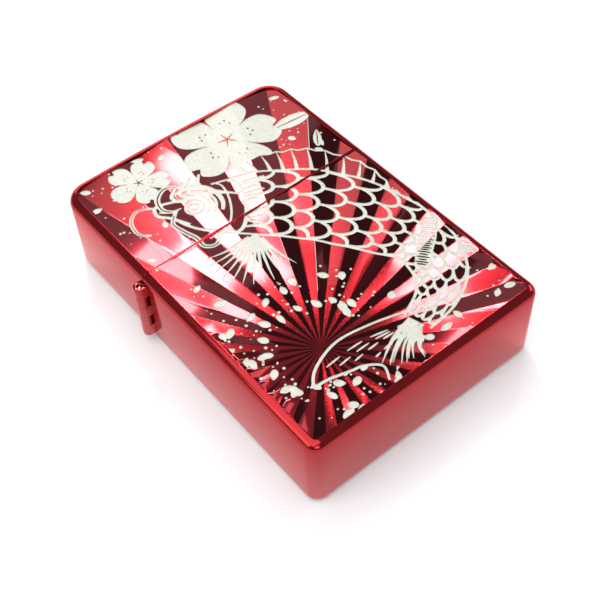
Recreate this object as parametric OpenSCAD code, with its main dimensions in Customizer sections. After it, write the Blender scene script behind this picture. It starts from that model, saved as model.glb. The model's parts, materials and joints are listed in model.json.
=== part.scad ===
// Flip-top windproof petrol lighter, lying on its back.
// X runs across the width (hinge on the -X side), Y from the base end to the
// lid's top, Z out of the front face. The origin is the middle of the back face.

/* [Case] */
// Width of the case across X
case_w = 38; // [37.6:0.1:38.4]
// Length of the closed case along Y
case_h = 56; // [55.6:0.1:57]
// Thickness of the case along Z
case_d = 12.7; // [12.6:0.05:12.9]
// Thickness of the drawn sheet
wall = 0.7; // [0.6:0.05:0.75]
// Height of the split between lid and lower case, above the middle
seam_y = 7.2; // [7:0.1:7.4]
// Gap between lid and lower case
seam_gap = 0.12; // [0.08:0.02:0.16]
// Corner radius of the lid's top, seen from the front
lid_corner_r = 3.5; // [3.2:0.1:3.8]
// Corner radius of the base end, seen from the front
base_corner_r = 1.8; // [1.6:0.1:2]
// Rounding of every outer edge
edge_r = 1.2; // [1.1:0.05:1.3]
// Height of the crown on the lid's top
top_crown = 0.35; // [0.25:0.05:0.45]

/* [Hinge] */
// Distance of the pin's axis outside the case wall
pin_out = 0.55; // [0.5:0.05:0.6]
// Radius of the hinge pin
pin_r = 0.4; // [0.35:0.05:0.4]
// Outer radius of the rolled knuckles
knuckle_r = 0.85; // [0.8:0.05:0.9]
// Length of one knuckle
knuckle_l = 1.87; // [1.87:0.01:1.95]
// Thickness of the hinge leaves
leaf_t = 0.45; // [0.4:0.05:0.5]
// Running clearance on radius of every turning fit
fit = 0.05; // [0.03:0.01:0.08]

/* [Insert] */
// Thickness of the insert's sheet
insert_wall = 0.45; // [0.4:0.05:0.5]
// Height of the insert's deck above the split
deck_rise = 0.8; // [0.7:0.1:0.9]
// Width of the wind screen
screen_w = 15; // [14.6:0.1:15.2]
// Depth of the wind screen along Z
screen_d = 9.7; // [9.4:0.1:9.8]
// Height of the wind screen above the deck
screen_h = 17; // [16.5:0.1:17.4]
// Radius of the wind screen's air holes
air_hole_r = 1.15; // [1:0.05:1.25]

/* [Wheel and flint] */
// Outer radius of the flint wheel
wheel_r = 3.65; // [3.5:0.05:3.7]
// Width of the flint wheel
wheel_w = 5.6; // [5.4:0.1:5.8]
// Number of teeth round the flint wheel
wheel_teeth = 30; // [24:1:36]
// Radius of the flint
flint_r = 1.15; // [1.1:0.05:1.2]
// Length of the flint
flint_l = 5; // [4:0.5:6]

/* [Cam] */
// Distance from the cam's pivot to the end of its finger
finger_l = 4.8; // [4.6:0.1:4.8]
// Direction of the finger with the lid closed, in degrees
finger_closed = 128; // [128:1:130]

/* [Hidden] */
$fn = 48;
// overlap that joins the shapes of one solid
eps = 0.01;
// longer than anything in the model
far = 200;

mid_z = case_d / 2;
top_y = case_h / 2;
base_y = -case_h / 2;
left_x = -case_w / 2;
right_x = case_w / 2;
crown_r = pow(case_w / 2, 2) / (2 * top_crown);
// centre of the lid's corner arcs, inside the crown and tangent to it
corner_x = case_w / 2 - lid_corner_r;
corner_y = top_y - crown_r + sqrt(pow(crown_r - lid_corner_r, 2) - pow(corner_x, 2));

// hinge
pin_x = left_x - pin_out;
knuckles = 5;
knuckle_gap = 0.06;
knuckle_pitch = knuckle_l + knuckle_gap;
hinge_l = knuckles * knuckle_pitch - knuckle_gap;
hinge_z0 = mid_z - hinge_l / 2;
notch_half = knuckle_r + 0.05;
leaf_x = left_x + wall;
leaf_w = 9.4;
leaf_start = 0.4;
lower_leaf_h = 10;
upper_leaf_h = 8.5;
web_h = 0.4;

// insert
insert_x0 = leaf_x + leaf_t + 0.25;
insert_x1 = right_x - wall - 0.25;
insert_z0 = wall + 0.2;
insert_z1 = case_d - wall - 0.2;
insert_y0 = base_y + wall + 0.5;
deck_y = seam_y + deck_rise;
deck_t = 0.5;

// wind screen
screen_x0 = -8;
screen_x1 = screen_x0 + screen_w;
screen_z0 = mid_z - screen_d / 2;
screen_wall = 0.5;
screen_r = 2.2;
foot_w = 1.0;
foot_t = 0.4;
hole_pitch = 3.6;
// number of holes and height above the deck, row by row
hole_rows = [[3, 14.0], [2, 10.6], [3, 7.2]];

// wick
wick_x = -1.4;
wick_r = 1.4;
wick_top = deck_y + 9.6;

// flint wheel
wheel_x = 10.4;
wheel_y = deck_y + 6.6;
wheel_pin_r = 0.9;
hub_r = 2.1;
tooth_h = 0.45;
ear_t = 0.5;
ear_gap = 0.3;
ear_r = 2.5;

// flint train, all round one axis along Y
flint_top = wheel_y - wheel_r - 0.1;
tube_r = 1.7;
tube_bore = flint_r + fit;
tube_top = flint_top - 1.2;
tube_y0 = insert_y0 + 1.7;
tip_l = 1.1;
stem_r = 0.45;
stem_l = 2.4;
screw_l = 4;
screw_head_r = 2.5;
screw_head_t = 1.3;
spring_wire_r = 0.2;
spring_r = 0.85;
spring_turns = 14;
spring_sides = 6;
spring_steps = 12;

// cam
cam_x = pin_x + 7.0;
cam_y = seam_y + 2.8;
cam_t = 2.6;
cam_boss_r = 1.55;
cam_pin_r = 0.7;
finger_r = 0.55;
cam_ear_t = 0.5;
cam_ear_gap = 0.25;
cam_ear_r = 1.5;

// nose on the upper leaf that the cam's finger bears on
nose_x = pin_x + 3.3;
nose_y = seam_y + 5.8;
nose_r = 0.35;

// cam spring
strip_t = 0.35;
strip_gap = 0.15;

// wadding and felt
felt_t = 1.8;
pad_gap = 0.3;
pads = 4;
soft_gap = 0.25;
wick_bottom = -16;

// ---- shared shapes ------------------------------------------------------

// Rectangle from (x0, y0) to (x1, y1) with four corners of radius r
module rounded_rectangle(x0, x1, y0, y1, r) {
    translate([x0 + r, y0]) square([x1 - x0 - 2 * r, y1 - y0]);
    translate([x0, y0 + r]) square([x1 - x0, y1 - y0 - 2 * r]);
    for (x = [x0 + r, x1 - r], y = [y0 + r, y1 - r]) translate([x, y]) circle(r);
}

// Prism along X whose cross-section in YZ has four corners of radius r
module cross_prism(x0, x1, y0, y1, z0, z1, r) {
    translate([x0, 0, 0]) rotate([90, 0, 90])
        linear_extrude(x1 - x0) rounded_rectangle(y0, y1, z0, z1, r);
}

// Prism along Y whose cross-section in XZ has four corners of radius r
module long_prism(x0, x1, y0, y1, z0, z1, r) {
    translate([0, y1, 0]) rotate([90, 0, 0])
        linear_extrude(y1 - y0) rounded_rectangle(x0, x1, z0, z1, r);
}

// Front outline of the case, every edge moved in by inset. The crown is one
// large arc, and the lid's corner arcs meet it tangentially.
module case_outline(inset) {
    r_base = base_corner_r - inset;
    x0 = left_x + inset;
    y0 = base_y + inset;
    w = case_w - 2 * inset;
    translate([x0 + r_base, y0]) square([w - 2 * r_base, corner_y - y0]);
    translate([x0, y0 + r_base]) square([w, corner_y - y0 - r_base]);
    intersection() {
        translate([-corner_x, 0]) square([2 * corner_x, top_y]);
        translate([0, top_y - crown_r]) circle(crown_r - inset, $fn = 360);
    }
    for (side = [-1, 1]) {
        translate([side * (case_w / 2 - base_corner_r), y0 + r_base]) circle(r_base);
        translate([side * corner_x, corner_y]) circle(lid_corner_r - inset);
    }
}

// Case body: the front outline crossed with the two rounded side profiles
module case_solid(inset) {
    r = max(edge_r - inset, 0.4);
    intersection() {
        translate([0, 0, inset]) linear_extrude(case_d - 2 * inset) case_outline(inset);
        long_prism(left_x + inset, right_x - inset, base_y - 1, top_y + 1,
                   inset, case_d - inset, r);
        cross_prism(left_x - 1, right_x + 1, base_y + inset, top_y - inset,
                    inset, case_d - inset, r);
    }
}

// Everything on one side of the split
module above_split() {
    translate([-far / 2, seam_y + seam_gap / 2, -far / 2]) cube([far, far, far]);
}
module below_split() {
    translate([-far / 2, seam_y - seam_gap / 2 - far, -far / 2]) cube([far, far, far]);
}

// Room for the knuckles in the case and lid walls
module hinge_notch() {
    translate([left_x - 1, seam_y - notch_half, hinge_z0 - 0.12])
        cube([wall + 1 + eps, 2 * notch_half, hinge_l + 0.24]);
}

// One knuckle with its web, for the leaf on side (+1 above, -1 below the pin)
module knuckle(i, side) {
    translate([pin_x, seam_y, hinge_z0 + i * knuckle_pitch]) {
        cylinder(r = knuckle_r, h = knuckle_l);
        web_low = side > 0 ? leaf_start : -leaf_start - web_h;
        translate([0.3, web_low, 0])
            cube([leaf_x - pin_x + leaf_t - 0.3, web_h, knuckle_l]);
    }
}

module pin_bore(r) {
    translate([pin_x, seam_y, -1]) cylinder(r = r, h = case_d + 2);
}

// Round bar along Z between two heads, for the rivets
module rivet(x, y, r, z0, z1, head_r, head_t) {
    translate([x, y, z0]) cylinder(r = r, h = z1 - z0);
    translate([x, y, z0 - head_t]) cylinder(r = head_r, h = head_t);
    translate([x, y, z1]) cylinder(r = head_r, h = head_t);
}

// Cylinder along +Y from y0, on the flint train's axis
module on_flint_axis(y0, r, l) {
    translate([wheel_x, y0, mid_z]) rotate([-90, 0, 0]) cylinder(r = r, h = l);
}

// ---- case and lid -------------------------------------------------------

module lower_case() {
    color("crimson") difference() {
        intersection() {
            case_solid(0);
            below_split();
        }
        case_solid(wall);
        hinge_notch();
    }
}

module lid() {
    color("crimson") difference() {
        intersection() {
            case_solid(0);
            above_split();
        }
        case_solid(wall);
        hinge_notch();
    }
}

// ---- hinge --------------------------------------------------------------

module hinge_lower_leaf() {
    color("firebrick") difference() {
        union() {
            for (i = [0, 2, 4]) knuckle(i, -1);
            translate([leaf_x, seam_y - leaf_start - lower_leaf_h, mid_z - leaf_w / 2])
                cube([leaf_t, lower_leaf_h, leaf_w]);
        }
        pin_bore(pin_r + 0.02);
    }
}

// The nose is a flat tongue bent in from the leaf, with a round end
module hinge_upper_leaf() {
    color("firebrick") difference() {
        union() {
            for (i = [1, 3]) knuckle(i, 1);
            translate([leaf_x, seam_y + leaf_start, mid_z - leaf_w / 2])
                cube([leaf_t, upper_leaf_h, leaf_w]);
            translate([leaf_x, nose_y - nose_r, mid_z - 1.2])
                cube([nose_x - leaf_x, 2 * nose_r, 2.4]);
            translate([nose_x, nose_y, mid_z - 1.2]) cylinder(r = nose_r, h = 2.4);
        }
        pin_bore(pin_r + fit);
    }
}

module hinge_pin() {
    color("firebrick") translate([pin_x, seam_y, hinge_z0])
        cylinder(r = pin_r, h = hinge_l);
}

// ---- insert -------------------------------------------------------------

module insert_case() {
    color("lightsteelblue") difference() {
        long_prism(insert_x0, insert_x1, insert_y0, deck_y, insert_z0, insert_z1, 0.9);
        long_prism(insert_x0 + insert_wall, insert_x1 - insert_wall, insert_y0 - 1,
                   deck_y - deck_t, insert_z0 + insert_wall, insert_z1 - insert_wall, 0.5);
        // holes in the deck for wick, flint tube and cam spring
        translate([wick_x, deck_y - 1, mid_z]) rotate([-90, 0, 0])
            cylinder(r = wick_r + 0.1, h = 2);
        on_flint_axis(deck_y - 1, tube_r + 0.02, 2);
        translate([cam_x - 2.6, deck_y - 1, mid_z - cam_t / 2 - 0.3])
            cube([3.6, 2, cam_t + 0.6]);
    }
}

// Wind screen: perforated sleeve with a foot, two ears for the wheel on its
// right, and two smaller ears for the cam on its left.
module wind_screen() {
    y1 = deck_y + screen_h;
    z1 = screen_z0 + screen_d;
    wheel_ear_z = mid_z - wheel_w / 2 - ear_gap - ear_t;
    cam_ear_z = mid_z - cam_t / 2 - cam_ear_gap - cam_ear_t;
    color("silver") difference() {
        union() {
            long_prism(screen_x0, screen_x1, deck_y, y1, screen_z0, z1, screen_r);
            for (z = [wheel_ear_z, 2 * mid_z - wheel_ear_z - ear_t])
                ear(wheel_x, wheel_y, screen_x1 - 1, ear_r, z, ear_t);
            for (z = [cam_ear_z, 2 * mid_z - cam_ear_z - cam_ear_t])
                ear(cam_x, cam_y, screen_x0 + 1, cam_ear_r, z, cam_ear_t);
            long_prism(screen_x0 - foot_w, screen_x1 + foot_w, deck_y, deck_y + foot_t,
                       insert_z0 + 0.3, insert_z1 - 0.3, screen_r);
        }
        long_prism(screen_x0 + screen_wall, screen_x1 - screen_wall, deck_y - 1, y1 + 1,
                   screen_z0 + screen_wall, z1 - screen_wall, screen_r - screen_wall);
        for (row = hole_rows) for (i = [0 : row[0] - 1])
            translate([(screen_x0 + screen_x1) / 2 + (i - (row[0] - 1) / 2) * hole_pitch,
                       deck_y + row[1], -1])
                cylinder(r = air_hole_r, h = case_d + 2);
        // window that the wheel reaches through
        translate([screen_x1 - 1.2, wheel_y - wheel_r - 0.4, mid_z - wheel_w / 2 - 0.25])
            cube([2, 2 * wheel_r + 0.8, wheel_w + 0.5]);
        // the foot is cut back round the flint tube
        on_flint_axis(deck_y - 1, tube_r + 0.3, 3);
        translate([wheel_x, wheel_y, -1]) cylinder(r = wheel_pin_r + 0.02, h = far);
        translate([cam_x, cam_y, -1]) cylinder(r = cam_pin_r + 0.02, h = far);
    }
}

// Flat ear in the XY plane from x_root out to a round end about (x, y)
module ear(x, y, x_root, r, z, t) {
    translate([x, y, z]) cylinder(r = r, h = t);
    low = min(x, x_root);
    translate([low, y - r, z]) cube([abs(x - x_root), 2 * r, t]);
}

// ---- cam ----------------------------------------------------------------

module cam() {
    color("gainsboro") difference() {
        translate([cam_x, cam_y, mid_z - cam_t / 2]) rotate([0, 0, finger_closed]) {
            cylinder(r = cam_boss_r, h = cam_t);
            linear_extrude(cam_t)
                polygon([[0, -cam_boss_r * 0.8], [finger_l - finger_r, -finger_r],
                         [finger_l - finger_r, finger_r], [0, finger_r]]);
            translate([finger_l - finger_r, 0, 0]) cylinder(r = finger_r, h = cam_t);
        }
        translate([cam_x, cam_y, -1]) cylinder(r = cam_pin_r + fit, h = case_d + 2);
    }
}

module cam_rivet() {
    half = cam_t / 2 + cam_ear_gap + cam_ear_t;
    color("silver") rivet(cam_x, cam_y, cam_pin_r, mid_z - half, mid_z + half, 1.1, 0.35);
}

// Flat strip spring: up inside the insert's left wall, then bent over to bear
// under the cam's round boss
module cam_spring() {
    tip = [cam_x - 0.2, cam_y - cam_boss_r - strip_gap];
    x0 = insert_x0 + insert_wall + 0.2;
    path = [[x0, -7], [x0, 2.5], [x0 + 1.2, 5.6], [tip[0] - 1.1, tip[1] - strip_t - 0.15], tip];
    color("slategray") translate([0, 0, mid_z - 1.2]) linear_extrude(2.4)
        polygon([path[0], path[1], path[2], path[3] + [0, strip_t], tip,
                 tip + [0.1, -strip_t], path[3] + [0.3, 0], path[2] + [strip_t, -0.15],
                 path[1] + [strip_t, 0], path[0] + [strip_t, 0]]);
}

// ---- wheel and flint ----------------------------------------------------

module flint_wheel() {
    step = 360 / wheel_teeth;
    root = wheel_r - tooth_h;
    outline = [for (i = [0 : wheel_teeth - 1], k = [0, 1])
        let (a = (i + k * 0.85) * step, r = k == 0 ? root : wheel_r)
        [r * cos(a), r * sin(a)]];
    color("dimgray") translate([wheel_x, wheel_y, mid_z]) difference() {
        union() {
            translate([0, 0, -wheel_w / 2 + 0.4]) linear_extrude(wheel_w - 0.8)
                polygon(outline);
            translate([0, 0, -wheel_w / 2]) cylinder(r = hub_r, h = wheel_w);
        }
        translate([0, 0, -wheel_w]) cylinder(r = wheel_pin_r + fit, h = 2 * wheel_w);
    }
}

module wheel_rivet() {
    half = wheel_w / 2 + ear_gap + ear_t;
    color("silver")
        rivet(wheel_x, wheel_y, wheel_pin_r, mid_z - half, mid_z + half, 1.5, 0.45);
}

module flint_tube() {
    color("darkkhaki") difference() {
        on_flint_axis(tube_y0, tube_r, tube_top - tube_y0);
        on_flint_axis(tube_y0 - 1, tube_bore, tube_top - tube_y0 + 2);
    }
}

module flint() {
    color("gray") on_flint_axis(flint_top - flint_l, flint_r, flint_l);
}

module flint_tip() {
    y1 = flint_top - flint_l - 0.02;
    color("darkgoldenrod") {
        on_flint_axis(y1 - tip_l, flint_r, tip_l);
        on_flint_axis(y1 - tip_l - stem_l, stem_r, stem_l + eps);
    }
}

// Coil spring from the screw up to the tip, as one swept tube
module flint_spring() {
    y0 = tube_y0 + screw_l + spring_wire_r + 0.05;
    y1 = flint_top - flint_l - tip_l - spring_wire_r - 0.1;
    rings = spring_turns * spring_steps;
    pts = [for (i = [0 : rings], k = [0 : spring_sides - 1])
        let (a = i * 360 / spring_steps, b = k * 360 / spring_sides,
             r = spring_r + spring_wire_r * cos(b),
             y = y0 + (y1 - y0) * i / rings + spring_wire_r * sin(b))
        [wheel_x + r * cos(a), y, mid_z - r * sin(a)]];
    sides = [for (i = [0 : rings - 1], k = [0 : spring_sides - 1], half = [0, 1])
        let (n = (k + 1) % spring_sides, a = i * spring_sides, b = a + spring_sides)
        half == 0 ? [a + k, a + n, b + n] : [a + k, b + n, b + k]];
    start = [[for (k = [spring_sides - 1 : -1 : 0]) k]];
    end = [[for (k = [0 : spring_sides - 1]) rings * spring_sides + k]];
    color("silver") polyhedron(pts, concat(sides, start, end));
}

module flint_screw() {
    color("goldenrod") difference() {
        union() {
            on_flint_axis(tube_y0 - eps, flint_r, screw_l + eps);
            on_flint_axis(tube_y0 - screw_head_t, screw_head_r, screw_head_t);
        }
        // slot for a coin
        translate([wheel_x - screw_head_r - 1, tube_y0 - screw_head_t - 1, mid_z - 0.4])
            cube([2 * screw_head_r + 2, 1.6, 0.8]);
    }
}

// ---- wick, wadding and felt ---------------------------------------------

module wick() {
    color("ivory") translate([wick_x, wick_bottom, mid_z]) rotate([-90, 0, 0])
        cylinder(r = wick_r, h = wick_top - wick_bottom);
}

// Stacked pads that fill the insert, pierced for the flint tube and the wick
module wadding() {
    x0 = insert_x0 + insert_wall + 1.6;
    x1 = insert_x1 - insert_wall - soft_gap;
    z0 = insert_z0 + insert_wall + soft_gap;
    z1 = insert_z1 - insert_wall - soft_gap;
    y0 = insert_y0 + felt_t + 1.0;
    y1 = 4.6;
    pad_l = (y1 - y0 - (pads - 1) * pad_gap) / pads;
    color("whitesmoke") difference() {
        for (i = [0 : pads - 1]) {
            y = y0 + i * (pad_l + pad_gap);
            long_prism(x0, x1, y, y + pad_l, z0, z1, 1.5);
        }
        on_flint_axis(y0 - 1, tube_r + soft_gap, y1 - y0 + 2);
        translate([wick_x, wick_bottom - 0.5, mid_z]) rotate([-90, 0, 0])
            cylinder(r = wick_r + soft_gap, h = far);
    }
}

module felt_pad() {
    color("tan") difference() {
        long_prism(insert_x0 + insert_wall + soft_gap, insert_x1 - insert_wall - soft_gap,
                   insert_y0 + 0.5, insert_y0 + 0.5 + felt_t,
                   insert_z0 + insert_wall + soft_gap, insert_z1 - insert_wall - soft_gap, 0.6);
        on_flint_axis(insert_y0 - 1, screw_head_r + soft_gap, felt_t + 4);
    }
}

lower_case();
lid();
hinge_lower_leaf();
hinge_upper_leaf();
hinge_pin();
insert_case();
wind_screen();
cam();
cam_rivet();
cam_spring();
flint_wheel();
wheel_rivet();
flint_tube();
flint();
flint_tip();
flint_spring();
flint_screw();
wick();
wadding();
felt_pad();
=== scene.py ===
"""Flip-top petrol lighter, lacquered candy red with an engraved front, built round the CAD frame.

Shapes are worked out in millimetres in the CAD model's own axes (X across the width, Y from the base
end to the lid's top, Z out of the front face) and become metres when a mesh is made.
"""
import json
import math
import random

import bmesh
import bpy
from mathutils import Matrix, Vector
from mathutils.geometry import delaunay_2d_cdt
from mathutils.noise import fractal


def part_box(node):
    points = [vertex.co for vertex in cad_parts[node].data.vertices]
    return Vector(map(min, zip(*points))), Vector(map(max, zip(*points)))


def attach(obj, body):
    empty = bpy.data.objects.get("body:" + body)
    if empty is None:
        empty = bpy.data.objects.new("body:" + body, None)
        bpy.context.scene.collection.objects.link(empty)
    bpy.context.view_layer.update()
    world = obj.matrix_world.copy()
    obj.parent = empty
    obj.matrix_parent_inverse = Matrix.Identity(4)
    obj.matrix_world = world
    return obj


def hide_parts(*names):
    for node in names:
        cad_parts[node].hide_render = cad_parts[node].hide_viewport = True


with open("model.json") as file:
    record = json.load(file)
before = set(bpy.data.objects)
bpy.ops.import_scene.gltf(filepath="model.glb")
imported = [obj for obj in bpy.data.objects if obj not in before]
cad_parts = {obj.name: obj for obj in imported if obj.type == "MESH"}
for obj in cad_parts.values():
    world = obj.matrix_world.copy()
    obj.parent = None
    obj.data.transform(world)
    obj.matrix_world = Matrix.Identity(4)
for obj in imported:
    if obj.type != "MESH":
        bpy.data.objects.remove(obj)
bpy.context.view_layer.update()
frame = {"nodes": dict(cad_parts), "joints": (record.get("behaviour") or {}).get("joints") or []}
MM = 0.001      # metres in a millimetre


# ---- driving sizes, from the frame ----------------------------------------------------------------

def box_mm(node):
    """The lowest and highest corner of a CAD node, in millimetres."""
    return [[c / MM for c in corner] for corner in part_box(node)]


def middle_of(low, high):
    """The point halfway between two corners."""
    return [(a + b) / 2 for a, b in zip(low, high)]


(CASE_LO, CASE_HI), (LID_LO, LID_HI) = box_mm("lower_case"), box_mm("lid")
HALF_W = CASE_HI[0]
BASE_Y, TOP_Y = CASE_LO[1], LID_HI[1]
DEPTH = CASE_HI[2]
SEAM_LOW, SEAM_HIGH = CASE_HI[1], LID_LO[1]
PIN = [c / MM for c in next(j for j in frame["joints"] if j["name"] == "lid_hinge")["pos_m"]]
WALL = 0.7            # sheet thickness
EDGE_R = 1.2          # rounding of every outer edge
BASE_R = 1.8          # corner radius of the base end, seen from the front
LID_R = 3.5           # corner radius of the lid's top, seen from the front
CROWN = 0.35          # height of the crown on the lid's top
LIP = 0.04            # chamfer where lid and case meet
BORDER = 0.05         # flat rim round the engraved field
ENGRAVED = 0.07       # depth of the engraved lines below the rays

FOCUS = (-8.6, -17.0)         # where the rays meet
FACETS = 52                   # flat faces round the focus, bright and dark in turn
STEP = 2 * math.pi / FACETS   # angle of one facet
PHASE = math.radians(11.3)    # direction of the first ray line
RAY_SLOPE = 0.0065            # how far a valley falls per millimetre from the focus
SWAP_FROM, SWAP_TO = 46, 3    # ray lines on the right, between which ridges and valleys change places
FAR = 90                      # a length that reaches past every corner from the focus
LEAST_AREA = 0.004            # shapes with less than this left inside the field are dropped

# material slots of the two shells
LACQUER, ETCHED, INSIDE, BRIGHT_CUT, POLISHED = range(5)


# ---- mesh helpers --------------------------------------------------------------------------------

def add_object(name, data):
    """An object in the scene for a mesh, light or camera."""
    obj = bpy.data.objects.new(name, data)
    bpy.context.scene.collection.objects.link(obj)
    return obj


def make_object(name, verts, faces, smooth=True, face_slots=None):
    """A mesh object from points in millimetres."""
    mesh = bpy.data.meshes.new(name)
    mesh.from_pydata([Vector(v) * MM for v in verts], [], faces)
    if face_slots:
        mesh.polygons.foreach_set("material_index", face_slots)
    bm = bmesh.new()
    bm.from_mesh(mesh)
    bmesh.ops.recalc_face_normals(bm, faces=bm.faces)
    for face in bm.faces:
        face.smooth = smooth
    bm.to_mesh(mesh)
    bm.free()
    return add_object(name, mesh)


def grid_faces(rows, cols, start=0, close_rows=False, close_cols=False):
    """Quads over a grid of rows x cols points that are stored row by row."""
    quads = []
    for i in range(rows if close_rows else rows - 1):
        for j in range(cols if close_cols else cols - 1):
            a, b = i % rows, (i + 1) % rows
            c, d = j % cols, (j + 1) % cols
            quads.append([start + a * cols + c, start + b * cols + c,
                          start + b * cols + d, start + a * cols + d])
    return quads


def tube_faces(rows, cols):
    """Quads round a tube of rows of cols points, and a face over each end."""
    last = (rows - 1) * cols
    return grid_faces(rows, cols, close_cols=True) + [list(range(cols)), list(range(last, last + cols))]


def lathe(name, profile, centre, steps):
    """Turns a profile of (radius, height) points, which starts and ends on the axis, round Z."""
    verts = []
    for i in range(steps):
        a = 2 * math.pi * i / steps
        for r, h in profile:
            verts.append((r * math.cos(a) + centre[0], r * math.sin(a) + centre[1], h + centre[2]))
    obj = make_object(name, verts, grid_faces(steps, len(profile), close_rows=True))
    weld(obj, 0.001)
    return obj


def weld(obj, distance):
    """Merges points closer than a distance in millimetres and drops what collapses."""
    bm = bmesh.new()
    bm.from_mesh(obj.data)
    bmesh.ops.remove_doubles(bm, verts=bm.verts, dist=distance * MM)
    bmesh.ops.dissolve_degenerate(bm, edges=bm.edges, dist=distance * MM * 0.1)
    bmesh.ops.recalc_face_normals(bm, faces=bm.faces)
    bm.to_mesh(obj.data)
    bm.free()


def apply_modifiers(obj):
    """Turns a piece's modifiers into plain mesh."""
    graph = bpy.context.evaluated_depsgraph_get()
    mesh = bpy.data.meshes.new_from_object(obj.evaluated_get(graph))
    obj.modifiers.clear()
    obj.data = mesh


def cut(obj, cutter):
    """Subtracts one closed mesh from another."""
    mod = obj.modifiers.new("cut", "BOOLEAN")
    mod.object = cutter
    mod.operation = "DIFFERENCE"
    mod.solver = "EXACT"
    apply_modifiers(obj)
    bpy.data.objects.remove(cutter)


def add_bevel(obj, width, segments):
    """Rounds the sharp edges of a piece by a width in millimetres."""
    mod = obj.modifiers.new("edges", "BEVEL")
    mod.width = width * MM
    mod.segments = segments
    mod.limit_method = "ANGLE"
    mod.angle_limit = math.radians(40)


def sharpen(obj, degrees):
    """Smooth shading that breaks at edges sharper than an angle."""
    for poly in obj.data.polygons:
        poly.use_smooth = True
    obj.data.set_sharp_from_angle(angle=math.radians(degrees))


def finish_piece(obj, body, slot, node, *materials):
    """Material, body and the CAD node that the piece stands for; slot is not used."""
    for material in materials:
        obj.data.materials.append(material)
    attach(obj, body)
    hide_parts(node)


# ---- plane curves for the outline and the engraving ----------------------------------------------

def polar(centre, r, degrees):
    """The point at a distance and direction from a centre."""
    a = math.radians(degrees)
    return (centre[0] + r * math.cos(a), centre[1] + r * math.sin(a))


def arc(centre, r, a0, a1, steps):
    """Points and outward normals along an arc."""
    out = []
    for i in range(steps + 1):
        a = a0 + (a1 - a0) * i / steps
        out.append((polar(centre, r, a), polar((0, 0), 1, a)))
    return out


def arc_points(centre, r, a0, a1, steps):
    return [point for point, _ in arc(centre, r, a0, a1, steps)]


def spline(points, steps):
    """A smooth curve through given points (Catmull-Rom)."""
    pts = [points[0]] + list(points) + [points[-1]]
    out = []
    for k in range(1, len(pts) - 2):
        p0, p1, p2, p3 = pts[k - 1:k + 3]
        for i in range(steps):
            t = i / steps
            out.append(tuple(0.5 * (2 * b + (c - a) * t + (2 * a - 5 * b + 4 * c - d) * t * t
                                    + (3 * b - a - 3 * c + d) * t ** 3)
                             for a, b, c, d in zip(p0, p1, p2, p3)))
    out.append(tuple(points[-1]))
    return out


def side_of(points, i):
    """Unit vector to the left of a line at point i."""
    a, b = points[max(i - 1, 0)], points[min(i + 1, len(points) - 1)]
    dx, dy = b[0] - a[0], b[1] - a[1]
    length = math.hypot(dx, dy) or 1
    return (-dy / length, dx / length)


def band(points, half_widths):
    """Closed outline of a line with its half width at each point."""
    left, right = [], []
    for i, (p, w) in enumerate(zip(points, half_widths)):
        n = side_of(points, i)
        left.append((p[0] + n[0] * w, p[1] + n[1] * w))
        right.append((p[0] - n[0] * w, p[1] - n[1] * w))
    return left + right[::-1]


def stroke(points, width, taper=1.0):
    """Closed outline of a line of that width, thinned to width x (1 - taper) at its two ends."""
    last = len(points) - 1
    swell = [math.sin(math.pi * (0.08 + 0.84 * i / last)) ** 0.6 for i in range(last + 1)]
    return band(points, [width / 2 * (1 - taper + taper * s) for s in swell])


def pale(points, width, taper=1.0):
    """An etched stroke, as a shape for the field."""
    return ("ivory", stroke(points, width, taper))


def tail_stroke(points, width):
    """Closed outline of a line that starts at full width and runs out almost to a point."""
    last = len(points) - 1
    return band(points, [width / 2 * (1 - 0.86 * i / last) for i in range(last + 1)])


def disc(centre, r, sides=8):
    """A round dot with its first corner a little off the X axis."""
    return [polar(centre, r, 360 * i / sides + 11) for i in range(sides)]


def leaf(centre, length, width, degrees):
    """A loose petal: round at one end and pointed at the other."""
    out = []
    steps = 14
    ca, sa = math.cos(math.radians(degrees)), math.sin(math.radians(degrees))
    for i in range(steps):
        a = 2 * math.pi * i / steps
        x = length / 2 * math.cos(a)
        y = width / 2 * math.sin(a) * (1 - 0.55 * max(math.cos(a), 0) ** 1.5)
        out.append((centre[0] + x * ca - y * sa, centre[1] + x * sa + y * ca))
    return out


def clip(polygon, window):
    """The part of a polygon inside a convex window that runs anticlockwise."""
    out = list(polygon)
    for i, a in enumerate(window):
        b = window[(i + 1) % len(window)]
        inside = [(b[0] - a[0]) * (p[1] - a[1]) - (b[1] - a[1]) * (p[0] - a[0]) for p in out]
        kept = []
        for k, p in enumerate(out):
            q, dp, dq = out[(k + 1) % len(out)], inside[k], inside[(k + 1) % len(out)]
            if dp >= 0:
                kept.append(p)
            if dp * dq < 0:
                t = dp / (dp - dq)
                kept.append((p[0] + (q[0] - p[0]) * t, p[1] + (q[1] - p[1]) * t))
        out = kept
        if len(out) < 3:
            return []
    return out


# ---- the case's outline and its rounded sheet ----------------------------------------------------

# the lid's top is one arc of radius CROWN_R between two corner arcs round (+-CORNER_X, CORNER_Y)
CROWN_R = HALF_W ** 2 / (2 * CROWN)
CORNER_X = HALF_W - LID_R
CORNER_Y = TOP_Y - CROWN_R + math.sqrt((CROWN_R - LID_R) ** 2 - CORNER_X ** 2)


def straight(a, b, normal, steps):
    """Points on a straight side, without its first one."""
    return [((a[0] + (b[0] - a[0]) * i / steps, a[1] + (b[1] - a[1]) * i / steps), normal)
            for i in range(1, steps + 1)]


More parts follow.
